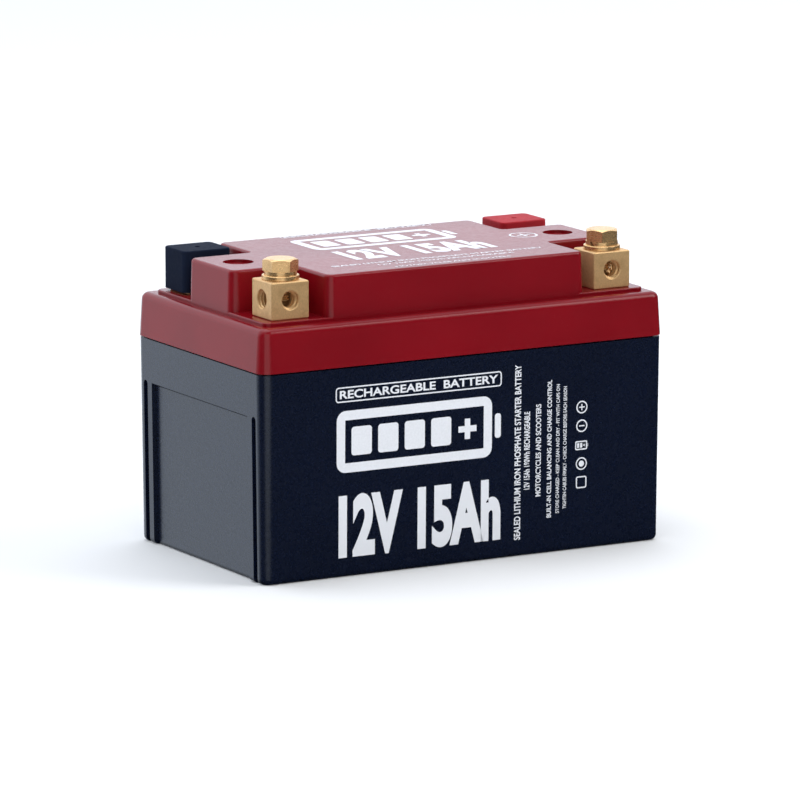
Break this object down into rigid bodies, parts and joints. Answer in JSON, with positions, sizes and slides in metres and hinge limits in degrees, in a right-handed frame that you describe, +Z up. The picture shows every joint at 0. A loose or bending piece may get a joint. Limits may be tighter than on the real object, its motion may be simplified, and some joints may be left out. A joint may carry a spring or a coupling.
{
  "type": "motorcycle battery",
  "caption": "Lithium motorcycle battery: drafted tub under a skirted lid with a raised centre, corner terminal blocks with side holes, bolts in front and pull-off caps behind.",
  "frame": {"origin": "middle of the footprint, on the surface the battery stands on", "axes": "+Z up; +X along the length towards the positive terminals; -Y towards the long side with the front terminals and the printed panel"},
  "size_m": [0.15, 0.087, 0.1031],
  "materials": {
    "case": "fine moulded texture, satin",
    "lid": "glossy moulding",
    "seal": "matt",
    "steel": "zinc plated",
    "copper": "copper bar, bare",
    "cap_black": "soft vinyl, matt",
    "cap_red": "soft vinyl, matt",
    "brass_block": "drawn bar, fine grain",
    "brass_bolt": "cold formed, bright",
    "cell_can": "shrink sleeve over the can",
    "holder": "moulded",
    "nickel": "nickel strip",
    "insulator": "barrier sheet",
    "foam": "foam",
    "strap": "glass fibre tape",
    "circuit_board": "solder mask",
    "chip": "moulded package",
    "aluminium": "brushed",
    "connector": "nylon",
    "thin_wire": "wire insulation",
    "lead_red": "silicone insulation",
    "lead_black": "silicone insulation"
  },
  "bodies": {
    "battery": {"balance_leads": "thin_wire", "balance_plug": "connector", "balance_socket": "connector", "base_pad": "foam", "board_screws": "steel", "board_transistors": "chip", "board_tray": "holder", "case": "case", "cell_1": "cell_can", "cell_2": "cell_can", "cell_3": "cell_can", "cell_4": "cell_can", "cell_link_1_2": "nickel", "cell_link_2_3": "nickel", "cell_link_3_4": "nickel", "cell_straps": "strap", "front_left_terminal": "brass_block", "front_right_terminal": "brass_block", "heat_spreader": "aluminium", "left_cell_holder": "holder", "left_end_insulator": "insulator", "lid": "lid", "lid_seal": "seal", "management_board": "circuit_board", "negative_lead": "lead_black", "negative_link": "copper", "output_lead": "lead_black", "pack_negative_tab": "nickel", "pack_positive_tab": "nickel", "positive_lead": "lead_red", "positive_link": "copper", "rear_left_terminal": "brass_block", "rear_right_terminal": "brass_block", "right_cell_holder": "holder", "right_end_insulator": "insulator", "terminal_nuts": "steel", "terminal_seals": "seal", "thermistor": "thin_wire", "tray_screws": "steel"},
    "front_left_washers": {"front_left_flat_washer": "brass_bolt", "front_left_spring_washer": "brass_bolt"},
    "front_left_bolt": {"front_left_bolt": "brass_bolt"},
    "front_right_washers": {"front_right_flat_washer": "brass_bolt", "front_right_spring_washer": "brass_bolt"},
    "front_right_bolt": {"front_right_bolt": "brass_bolt"},
    "rear_left_cap": {"rear_left_cap": "cap_black"},
    "rear_right_cap": {"rear_right_cap": "cap_red"}
  },
  "joints": [
    {"name": "front_left_washers_lift", "type": "slide", "parent": "battery", "child": "front_left_washers", "axis": [0, 0, 1], "range_m": [0, 0.0082]},
    {"name": "front_left_bolt_turn", "type": "hinge", "parent": "front_left_washers", "child": "front_left_bolt", "pos_m": [-0.0599, -0.02835, 0.1], "axis": [0, 0, 1], "range_deg": [0, 2880]},
    {"name": "front_right_washers_lift", "type": "slide", "parent": "battery", "child": "front_right_washers", "axis": [0, 0, 1], "range_m": [0, 0.0082]},
    {"name": "front_right_bolt_turn", "type": "hinge", "parent": "front_right_washers", "child": "front_right_bolt", "pos_m": [0.0599, -0.02835, 0.1], "axis": [0, 0, 1], "range_deg": [0, 2880]},
    {"name": "rear_left_cap_lift", "type": "slide", "parent": "battery", "child": "rear_left_cap", "axis": [0, 0, 1], "range_m": [0, 0.026]},
    {"name": "rear_right_cap_lift", "type": "slide", "parent": "battery", "child": "rear_right_cap", "axis": [0, 0, 1], "range_m": [0, 0.026]}
  ],
  "couplings": [
    {"joint": "front_left_washers_lift", "follows": "front_left_bolt_turn", "m_per_rad": 0.00015915},
    {"joint": "front_right_washers_lift", "follows": "front_right_bolt_turn", "m_per_rad": 0.00015915}
  ]
}
